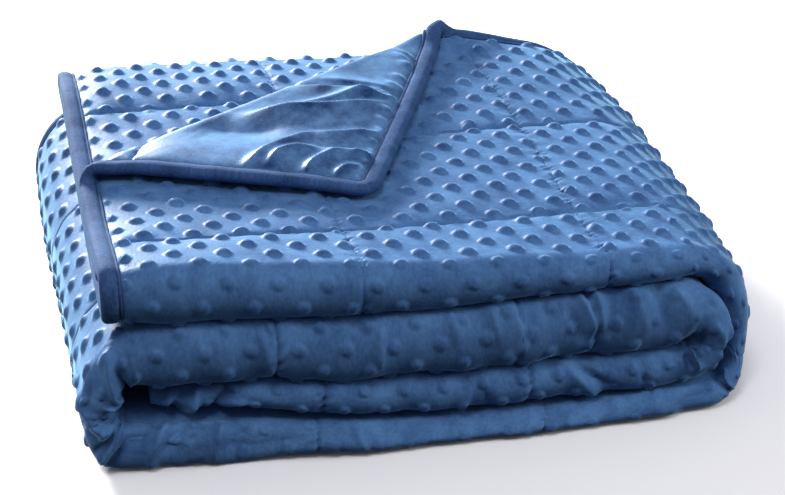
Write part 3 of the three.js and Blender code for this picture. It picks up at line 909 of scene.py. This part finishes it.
def crease(s, t, row):
    """Height of one crease."""
    s0, t0, s1, t1, s2, t2, left, right, rise = row
    share = np.linspace(0, 1, CREASE_PARTS + 1)
    left_share = 1 - share
    weights = np.stack(
        [left_share * (1 - 2 * share), 4 * share * left_share, share * (2 * share - 1)], axis=1
    )
    line_s, line_t = weights @ (s0, s1, s2), weights @ (t0, t1, t2)
    nearest = np.full(s.shape, 1e9)
    signed, along = np.zeros(s.shape), np.zeros(s.shape)
    for k in range(CREASE_PARTS):
        step_s, step_t = line_s[k + 1] - line_s[k], line_t[k + 1] - line_t[k]
        length = math.hypot(step_s, step_t)
        into = ((s - line_s[k]) * step_s + (t - line_t[k]) * step_t) / length**2
        clipped = np.clip(into, 0, 1)
        distance = np.hypot(s - line_s[k] - clipped * step_s, t - line_t[k] - clipped * step_t)
        side = step_s * (t - line_t[k]) - step_t * (s - line_s[k])
        closer = distance < nearest
        nearest = np.where(closer, distance, nearest)
        signed = np.where(closer, np.sign(side), signed)
        along = np.where(closer, (k + clipped) / CREASE_PARTS, along)
    width = np.where(signed > 0, left, right)
    ends = ease(along / CREASE_RISE + CREASE_START) * ease((1 - along) / CREASE_RISE + CREASE_START)
    return rise * ends * np.exp(-((nearest / width) ** CREASE_FALL))


def creases(s, t, rows):
    """Height of all the creases of a table."""
    total = np.zeros(s.shape)
    for row in np.stack([rows[name] for name in CREASE_COLUMNS.split()], axis=1):
        reach = CREASE_REACH * max(row[6:8])
        low_s, high_s = row[0:6:2].min() - reach, row[0:6:2].max() + reach
        low_t, high_t = row[1:6:2].min() - reach, row[1:6:2].max() + reach
        near = (s > low_s) & (s < high_s) & (t > low_t) & (t < high_t)
        total[near] += crease(s[near], t[near], row)
    return total


# Heights of the small and the slow swells of the filling.
SMALL_SWELL, SLOW_SWELL = 0.3, 0.35


def unevenness(s, t):
    """Slow swells of the filling, so that no two squares are alike."""
    small = np.sin(s / 11.3 + 1.7 * np.sin(t / 17.9)) * np.sin(t / 13.1 + 1.3 * np.sin(s / 23.7))
    return SMALL_SWELL * small + SLOW_SWELL * np.sin(0.083 * s + 0.057 * t + np.sin(t / 41.0))


# Dotted side: strength of its creases, and their greatest depth as a share of the half thickness.
FACE_CREASE, DEEPEST_CREASE = 1.25, 1.4
# Where dots and swells fade: under the binding, at the long sewn lines and at the cross lines.
BINDING_OVERLAP, BINDING_FADE = 1.0, 4.0
DOT_FADE_T, DOT_FADE_S, DOT_ON_CROSS, SWELL_FADE = 3.5, 4.5, 0.35, 4.5
# How much less painted shade the dots of the rolled front get.
FRONT_DOT_SHADE_CUT = 0.4


def face_height(s, t):
    """Dotted side of the cloth, with painted shade on its dots."""
    sizes = bpy.context.scene.blanket_sizes
    mark = dots(s, t)
    across_s, across_t = off_stitching(s, t)
    inside = np.clip((edge_distance(s, t) - BINDING_WIDTH + BINDING_OVERLAP) / BINDING_FADE, 0, 1)
    sewn = ease(across_t / DOT_FADE_T) * mix(DOT_ON_CROSS, 1, ease(across_s / DOT_FADE_S))
    room = dot_room(s, t) * inside * sewn
    half = half_thickness(s, t)
    swells = unevenness(s, t) * ease(across_t / SWELL_FADE)
    w = half + np.maximum(FACE_CREASE * creases(s, t, FACE_CREASES), -DEEPEST_CREASE * half)
    w += inside * (pucker(s, t) + CRUMPLE * crumple(s, t) + swells)
    w += inside * (gathers(s, t) + tuck(s, t))
    # Painted shade on the dots, less of it on the rolled front.
    painted_dot_shade = mark * room * (1 - FRONT_DOT_SHADE_CUT * on_front(s, t))
    return w + sizes.dot_height / MM * mark * room, {"dot": painted_dot_shade}


# Way to the front on the turned corner, over which the fall of its folds is taken, and the painted shade
# and highlight that the fall gives.
AHEAD_S, AHEAD_T = -1.1, -1.0
FOLD_SHADE, PALEST_FOLD, DEEPEST_FOLD = 2.5, -1.4, 0.6
# Painted highlight on the turned corner's pile: how pale, where, and how far it reaches.
PALE_PATCH, PATCH_S, PATCH_T, PATCH_REACH_S, PATCH_REACH_T = 0.6, 36.0, 100.0, 32.0, 30.0
# Strength of the smooth side's creases and gathers, and where its creases end at the binding.
REVERSE_CREASE, REVERSE_PUCKER = 1.3, 0.5
CREASE_EDGE, CREASE_EDGE_FADE = 7.0, 5.0


def reverse_height(s, t):
    """Smooth side of the cloth, with painted shade where a fold falls to the front, painted highlight where
    it rises, and a pale painted patch.
    """
    inside = ease((edge_distance(s, t) - CREASE_EDGE) / CREASE_EDGE_FADE)
    folds = REVERSE_CREASE * inside * creases(s, t, CORNER_CREASES)
    fall = folds - REVERSE_CREASE * inside * creases(s + AHEAD_S, t + AHEAD_T, CORNER_CREASES)
    # Painted highlight: a pale patch on the turned corner.
    off_s, off_t = (s - PATCH_S) / PATCH_REACH_S, (t - PATCH_T) / PATCH_REACH_T
    brushed = PALE_PATCH * np.exp(-(off_s**2) - off_t**2)
    # Painted shade on slopes that fall to the front, painted highlight on slopes that rise.
    painted_fold_light = np.clip(FOLD_SHADE * fall, PALEST_FOLD, DEEPEST_FOLD) - brushed
    return -half_thickness(s, t) - REVERSE_PUCKER * pucker(s, t) - folds, {"dot": painted_fold_light}


def sew_lines(lines, sewn):
    """Those lines with three close ones at each sewn line between them, for its narrow ditch."""
    inside = sewn[(sewn > lines[0] - 1) & (sewn < lines[-1] + 1)]
    for line in inside:
        close = line + np.array([-DITCH_WIDTH, 0, DITCH_WIDTH])
        kept = lines[np.abs(lines - line) > 1.5 * DITCH_WIDTH]
        lines = np.sort(np.append(kept, close[(close >= lines[0]) & (close <= lines[-1])]))
    return lines


# Places on the flat cloth between the pieces of the dotted side: sewn lines along the strip where they
# show, and across it the ends of the front that shows, of the ply below and of the back fold that shows.
TOP_SEAM, RIGHT_SEAM, FLOOR_SEAM, LEFT_SEAM = SEWN_S[[1, 3, 4, 6]]
TOP_END_S, TURNED_IN_S = 404, 262
NOSE_T0, NOSE_T1, BELOW_T, FOLD_T, BACK_T = 278, 320, 352, 600, 664
LAST_S, LAST_T = LENGTH - SHEET_INSET, WIDTH - SHEET_INSET

# Each piece has bands along s and across t, from one place to another with the spacing of its lines.
NOSE_BANDS = ((NOSE_T0, NOSE_T1, 0.65), (NOSE_T1, BELOW_T, 4.0))
FINE_BANDS = ((SHEET_INSET, NOSE_T0, 1.0), *NOSE_BANDS)
TURN_BANDS = ((SHEET_INSET, NOSE_T0, 1.6), *NOSE_BANDS)
HIDDEN_BANDS = ((SHEET_INSET, NOSE_T0, 12.0), *NOSE_BANDS)
FACE_PIECES = {
    "dotted_face_left": (((SHEET_INSET, TOP_SEAM, 1.0),), FINE_BANDS),
    "dotted_face_right": (((TOP_SEAM, TOP_END_S, 1.0), (TOP_END_S, RIGHT_SEAM, 1.2)), FINE_BANDS),
    "dotted_face_floor": (((RIGHT_SEAM, FLOOR_SEAM, 1.0),), HIDDEN_BANDS),
    "dotted_face_left_turn": (((FLOOR_SEAM, LEFT_SEAM, 1.0),), TURN_BANDS),
    "dotted_face_inner": (((LEFT_SEAM, LAST_S, 1.0),), HIDDEN_BANDS),
    "dotted_face_turned_in": (((SHEET_INSET, TURNED_IN_S, 1.5),), ((FOLD_T, LAST_T, 1.5),)),
    "dotted_face_back": (((TURNED_IN_S, LAST_S, 2.2),), ((FOLD_T, BACK_T, 1.5), (BACK_T, LAST_T, 12.0))),
    "dotted_face_below": (((SHEET_INSET, LAST_S, 6.0),), ((BELOW_T, FOLD_T, 8.0),)),
}
# The smooth side is fine on the turned corner, up to here, and coarse where it is folded in.
CORNER_S, CORNER_T = 252, 170
REVERSE_S = ((SHEET_INSET, CORNER_S, 1.2), (CORNER_S, LAST_S, 13))
REVERSE_T = ((SHEET_INSET, CORNER_T, 1.2), (CORNER_T, LAST_T, 10))


class BLANKET_OT_dotted_face(bpy.types.Operator):
    """Lays the dotted plush: the plies that show on top and in front, and those below and behind"""

    bl_idname = "blanket.dotted_face"
    bl_label = "Dotted plush"

    def execute(self, context):
        colours = context.scene.blanket_colours
        # Embossed plush: matt blue pile, pale where it is seen edge on, with painted shade on the dots.
        pile = dict(patchy=1.2, grain=0.5, pile_mm=1.6, pile_depth=0.4)
        gloss = dict(roughness=0.5, specular=0.06, sheen=0.6)
        material = plush("dotted_polyester_plush", colours.face, colours.face_deep_and_shade, **pile, **gloss)
        for name, (s_bands, t_bands) in FACE_PIECES.items():
            s_lines = sew_lines(steps(*s_bands), SEWN_S)
            t_lines = sew_lines(steps(*t_bands), SEWN_T)
            piece = lay_sheet(name, s_lines, t_lines, face_height)
            finish_piece(piece, material, "quilted_body")
        return {"FINISHED"}


class BLANKET_OT_smooth_reverse(bpy.types.Operator):
    """Lays the smooth plush of the reverse, which shows on the turned corner"""

    bl_idname = "blanket.smooth_reverse"
    bl_label = "Smooth plush"

    def execute(self, context):
        colours = context.scene.blanket_colours
        # Brushed velour: smoother than the face, with a pale sheen, painted highlights and painted shade
        # along its wrinkles.
        pile = dict(patchy=1.0, grain=0.2, pile_mm=1.2, pile_depth=0.25)
        gloss = dict(roughness=0.38, specular=0.2, sheen=0.4)
        material = plush("smooth_polyester_plush", colours.reverse, colours.reverse_deep_and_shade, **pile, **gloss)
        s_lines = sew_lines(steps(*REVERSE_S), SEWN_S)
        t_lines = sew_lines(steps(*REVERSE_T), SEWN_T)
        piece = lay_sheet("smooth_reverse", s_lines, t_lines, reverse_height)
        finish_piece(piece, material, "quilted_body")
        return {"FINISHED"}


def perimeter(distance):
    """Centre and way outwards of the bound edge, at a distance round it from the corner at s = t = 0."""
    straight_s, straight_t = LENGTH - 2 * CORNER_ROUND, WIDTH - 2 * CORNER_ROUND
    bend = CORNER_ROUND * math.pi / 2
    ends = np.cumsum([straight_s, bend, straight_t, bend, straight_s, bend, straight_t, bend])
    side = np.minimum(np.searchsorted(ends, distance, side="right"), 7)
    into = distance - np.concatenate([[0], ends])[side]
    quarter = side // 2
    turned = np.where(side % 2 == 1, into / CORNER_ROUND, 0) + quarter * math.pi / 2
    out_s, out_t = np.sin(turned), -np.cos(turned)
    centre_s = np.select(
        [side == 0, quarter <= 1, side == 4],
        [CORNER_ROUND + into, LENGTH - CORNER_ROUND, LENGTH - CORNER_ROUND - into],
        CORNER_ROUND,
    )
    centre_t = np.select(
        [side <= 1, side == 2, quarter <= 2, side == 6],
        [CORNER_ROUND, CORNER_ROUND + into, WIDTH - CORNER_ROUND, WIDTH - CORNER_ROUND - into],
        CORNER_ROUND,
    )
    return centre_s, centre_t, out_s, out_t


PERIMETER = 2 * (LENGTH + WIDTH - 4 * CORNER_ROUND) + 2 * math.pi * CORNER_ROUND

# Section of the binding, from its sewn edge on the dotted side round to the one on the smooth side.
# Its last column is the painted shade along the sewn edges and in the stitched grooves.
BINDING_SECTION = table(
    "inside w groove",
    (10.2, 0.5, 2),
    (10.2, 1.7, 2),
    (9.8, 2.3, 0),
    (9.2, 2.5, 0),
    (8.6, 1.6, 1.6),
    (8.0, 2.6, 0),
    (6.8, 3.0, 0),
    (5.2, 3.2, 0),
    (3.4, 3.2, 0),
    (1.8, 2.9, 0),
    (0.7, 2.1, 0),
    (0.1, 0.8, 0),
    (0.1, -0.8, 0),
    (0.7, -2.1, 0),
    (1.8, -2.9, 0),
    (3.4, -3.2, 0),
    (5.2, -3.2, 0),
    (6.8, -3.0, 0),
    (8.0, -2.6, 0),
    (8.6, -1.6, 1.6),
    (9.2, -2.5, 0),
    (9.8, -2.3, 0),
    (10.2, -1.7, 2),
    (10.2, -0.5, 2),
)
BINDING_HALF = BINDING_SECTION["w"].max()
# Width of the binding laid flat, in metres, spacing of its points along it, and height of its ripple.
BINDING_STEP, BINDING_RIPPLE = 3.0, 0.16
# Points this close together, in metres, are joined where the binding's ends meet.
SEAM_JOIN = 1e-6


class BLANKET_OT_edge_binding(bpy.types.Operator):
    """Folds the binding over the edge of the blanket, all the way round"""

    bl_idname = "blanket.edge_binding"
    bl_label = "Binding"

    def execute(self, context):
        colours = context.scene.blanket_colours
        # Plain velour strip: short pile, a little greyer than the face, with sewn grooves at its edges and
        # painted shade along them.
        pile = dict(patchy=1.4, grain=1.2, pile_mm=1.4, pile_depth=0.5)
        gloss = dict(roughness=0.8, specular=0.06, sheen=0.12)
        material = plush("binding_polyester_velour", colours.binding, colours.binding_worn_and_shade, **pile, **gloss)
        last = len(BINDING_SECTION["w"]) - 1
        mesh, along, across = flat_grid("binding", round(PERIMETER / BINDING_STEP), last)
        distance = along * PERIMETER
        corner = np.rint(across * last).astype(int)
        inside, w, groove = (BINDING_SECTION[name][corner] for name in ("inside", "w", "groove"))
        wander = np.sin(distance / 3.1 + 2 * np.sin(distance / 17.0))
        ripple = BINDING_RIPPLE * wander * np.clip(inside / BINDING_WIDTH, 0, 1)
        centre_s, centre_t, out_s, out_t = perimeter(np.clip(distance, 0, PERIMETER - 1e-6))
        reach = CORNER_ROUND - inside
        s, t = centre_s + reach * out_s, centre_t + reach * out_t
        mesh.vertices.foreach_set("co", place(s, t, w * (1 + ripple / BINDING_HALF)).ravel())
        # Painted shade along the sewn edges and in the grooves goes into the dot mark.
        keep_flat(mesh, distance, inside + w, {"dot": groove})
        mesh.shade_smooth()
        cloth = bmesh.new()
        cloth.from_mesh(mesh)
        bmesh.ops.remove_doubles(cloth, verts=cloth.verts, dist=SEAM_JOIN)
        cloth.to_mesh(mesh)
        cloth.free()
        piece = add_object("binding", mesh)
        finish_piece(piece, material, "edge_binding")
        return {"FINISHED"}


# Stitches are sewn where they can be seen: on the top, in front, and behind up to here.
STITCHED_T = 660
# How far they stay off the binding, and their width and height.
STITCH_INSET, STITCH_WIDTH, STITCH_HEIGHT = 4.0, 0.6, 0.5


def stitch_rows():
    """Places of the stitches: s, t and the share of s and t in the way they run."""
    pitch = bpy.context.scene.blanket_sizes.stitch_pitch / MM
    inset = BINDING_WIDTH + STITCH_INSET
    along_s = np.arange(inset, LENGTH - inset, pitch)
    along_t = np.arange(inset, WIDTH - inset, pitch)
    rows = [np.stack(np.broadcast_arrays(line, along_t, 0.0, 1.0), axis=1) for line in SEWN_S]
    rows += [np.stack(np.broadcast_arrays(along_s, line, 1.0, 0.0), axis=1) for line in SEWN_T]
    rows = np.concatenate(rows)
    s, t = rows[:, 0], rows[:, 1]
    on_top = (s < TOP_END_S) & ((t < NOSE_T0) | (t > FOLD_T))
    in_front = (t > NOSE_T0) & (t < NOSE_T1)
    behind = (t > FOLD_T) & (t < STITCHED_T)
    return rows[on_top | in_front | behind]


class BLANKET_OT_stitching(bpy.types.Operator):
    """Sews the quilting lines with short stitches"""

    bl_idname = "blanket.stitching"
    bl_label = "Stitching"

    def execute(self, context):
        colours = context.scene.blanket_colours
        length = context.scene.blanket_sizes.stitch_length / MM
        # Polyester thread: smooth, a little darker than the pile, so that the lines read as drawn in.
        pile = dict(patchy=0.0, grain=0.0, pile_mm=1.0, pile_depth=0.05)
        gloss = dict(roughness=0.6, specular=0.2, sheen=0.1)
        material = plush("polyester_thread", colours.thread, colours.thread, **pile, **gloss)
        seed = bmesh.new()
        bmesh.ops.create_icosphere(seed, subdivisions=1, radius=0.5)
        mesh = bpy.data.meshes.new("stitch")
        seed.to_mesh(mesh)
        seed.free()
        corners = read_points(mesh)
        faces = np.array([face.vertices[:] for face in mesh.polygons])
        rows = stitch_rows()
        middle_s, middle_t, run_s, run_t = (rows[:, k : k + 1] for k in range(4))
        along, aside = length * corners[:, 0], STITCH_WIDTH * corners[:, 1]
        s = middle_s + along * run_s + aside * run_t
        t = middle_t + along * run_t + aside * run_s
        w = face_height(rows[:, 0], rows[:, 1])[0][:, None] + STITCH_HEIGHT * corners[:, 2]
        points = place(s.ravel(), t.ravel(), w.ravel())
        first = len(corners) * np.arange(len(rows))[:, None, None]
        all_faces = (faces[None] + first).reshape(-1, 3)
        mesh.clear_geometry()
        mesh.from_pydata(points.tolist(), [], all_faces.tolist())
        keep_flat(mesh, s.ravel(), t.ravel(), {})
        mesh.shade_smooth()
        piece = add_object("stitching", mesh)
        piece.data.materials.append(material)
        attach(piece, "root")
        return {"FINISHED"}


# Stage. The key light stands far behind on the left and rakes over the dots; each light has a place, a
# size and a power. The sky is brighter overhead than at the horizon.
FLOOR_HALF, FLOOR_COLOUR, FLOOR_ROUGHNESS = 6, "#f6f6f6", 0.9
SKY_COLOUR, SKY_LOW, SKY_HIGH = "#f2f0ff", 0.03, 0.6
LIGHTS = {
    "key": ((-0.88, 2.83, 1.02), 1.0, 340.0),
    "side": ((-1.7, 0.0, 0.3), 1.0, 5.0),
    "right": ((1.6, -0.7, 0.9), 0.8, 17.0),
    "fill": ((-0.5, -1.0, 1.9), 0.6, 14.0),
}
LIT_PLACE = (0, 0, 0.05)
# Camera, fitted to the sewn lines: its place, how far it looks down and to the right, in degrees, and
# its lens, in pixels of a picture of that width.
CAMERA_X, CAMERA_Y, CAMERA_Z = -169.1, -868.4, 418.4
CAMERA_DOWN, CAMERA_RIGHT = 23.5, 12.49
LENS_PX, PICTURE_PX, SENSOR_WIDTH = 1741, 785, 36


class BLANKET_OT_stage(bpy.types.Operator):
    """Sets the floor, the lights and the camera"""

    bl_idname = "blanket.stage"
    bl_label = "Stage"

    def execute(self, context):
        scene = context.scene
        floor_mesh = bmesh.new()
        bmesh.ops.create_grid(floor_mesh, x_segments=1, y_segments=1, size=FLOOR_HALF)
        mesh = bpy.data.meshes.new("floor")
        floor_mesh.to_mesh(mesh)
        floor_mesh.free()
        floor = add_object("floor", mesh)
        # Matt white floor: it takes the soft shadow and throws no diffuse light back on the part.
        material = bpy.data.materials.new("white_studio_floor")
        material.use_nodes = True
        shader = material.node_tree.nodes["Principled BSDF"]
        shader.inputs["Base Color"].default_value = (*linear(FLOOR_COLOUR), 1)
        shader.inputs["Roughness"].default_value = FLOOR_ROUGHNESS
        floor.data.materials.append(material)
        floor.visible_diffuse = False

        world = bpy.data.worlds.new("studio")
        scene.world = world
        world.use_nodes = True
        sky = world.node_tree
        background = sky.nodes["Background"]
        background.inputs["Color"].default_value = (*linear(SKY_COLOUR), 1)
        direction = add_node(sky, "ShaderNodeTexCoord")
        height = add_node(sky, "ShaderNodeSeparateXYZ", links={"Vector": direction.outputs["Generated"]})
        strength = add_node(
            sky,
            "ShaderNodeMapRange",
            {"From Min": 0.0, "From Max": 1.0, "To Min": SKY_LOW, "To Max": SKY_HIGH},
            {"Value": height.outputs["Z"]},
        )
        sky.links.new(strength.outputs["Result"], background.inputs["Strength"])
        for name, (spot, size, power) in LIGHTS.items():
            lamp = bpy.data.lights.new(name, "AREA")
            lamp.size = size
            lamp.energy = power
            light = bpy.data.objects.new(name, lamp)
            light.location = spot
            aim = Vector(LIT_PLACE) - Vector(spot)
            light.rotation_euler = aim.to_track_quat("-Z", "Y").to_euler()
            scene.collection.objects.link(light)

        camera = bpy.data.objects.new("camera", bpy.data.cameras.new("camera"))
        camera.location = (MM * (CAMERA_X - CENTRE_X), MM * (CAMERA_Y - CENTRE_Y), MM * CAMERA_Z)
        camera.rotation_euler = (math.radians(90 - CAMERA_DOWN), 0, math.radians(-CAMERA_RIGHT))
        camera.data.sensor_width = SENSOR_WIDTH
        camera.data.lens = SENSOR_WIDTH * LENS_PX / PICTURE_PX
        scene.collection.objects.link(camera)
        scene.camera = camera
        scene.view_settings.view_transform = "Standard"
        return {"FINISHED"}


class BLANKET_PT_panel(bpy.types.Panel):
    """Lists the blanket's pieces"""

    bl_label = "Blanket"
    bl_space_type = "VIEW_3D"
    bl_region_type = "UI"
    bl_category = "Blanket"

    def draw(self, context):
        for group in (context.scene.blanket_sizes, context.scene.blanket_colours):
            for name in group.__annotations__:
                self.layout.prop(group, name)
        for operator in OPERATORS:
            self.layout.operator(operator.bl_idname)


OPERATORS = (
    BLANKET_OT_dotted_face,
    BLANKET_OT_smooth_reverse,
    BLANKET_OT_edge_binding,
    BLANKET_OT_stitching,
    BLANKET_OT_stage,
)
CLASSES = (BlanketSizes, BlanketColours, *OPERATORS, BLANKET_PT_panel)


def register():
    """Adds the classes and the scene's two groups of properties."""
    for cls in CLASSES:
        bpy.utils.register_class(cls)
    bpy.types.Scene.blanket_sizes = bpy.props.PointerProperty(type=BlanketSizes)
    bpy.types.Scene.blanket_colours = bpy.props.PointerProperty(type=BlanketColours)


def unregister():
    """Takes them away again."""
    del bpy.types.Scene.blanket_colours
    del bpy.types.Scene.blanket_sizes
    for cls in reversed(CLASSES):
        bpy.utils.unregister_class(cls)


def main():
    """Builds the blanket and its stage."""
    register()
    bpy.ops.blanket.dotted_face()
    bpy.ops.blanket.smooth_reverse()
    bpy.ops.blanket.edge_binding()
    bpy.ops.blanket.stitching()
    bpy.ops.blanket.stage()


if __name__ == "__main__":
    main()
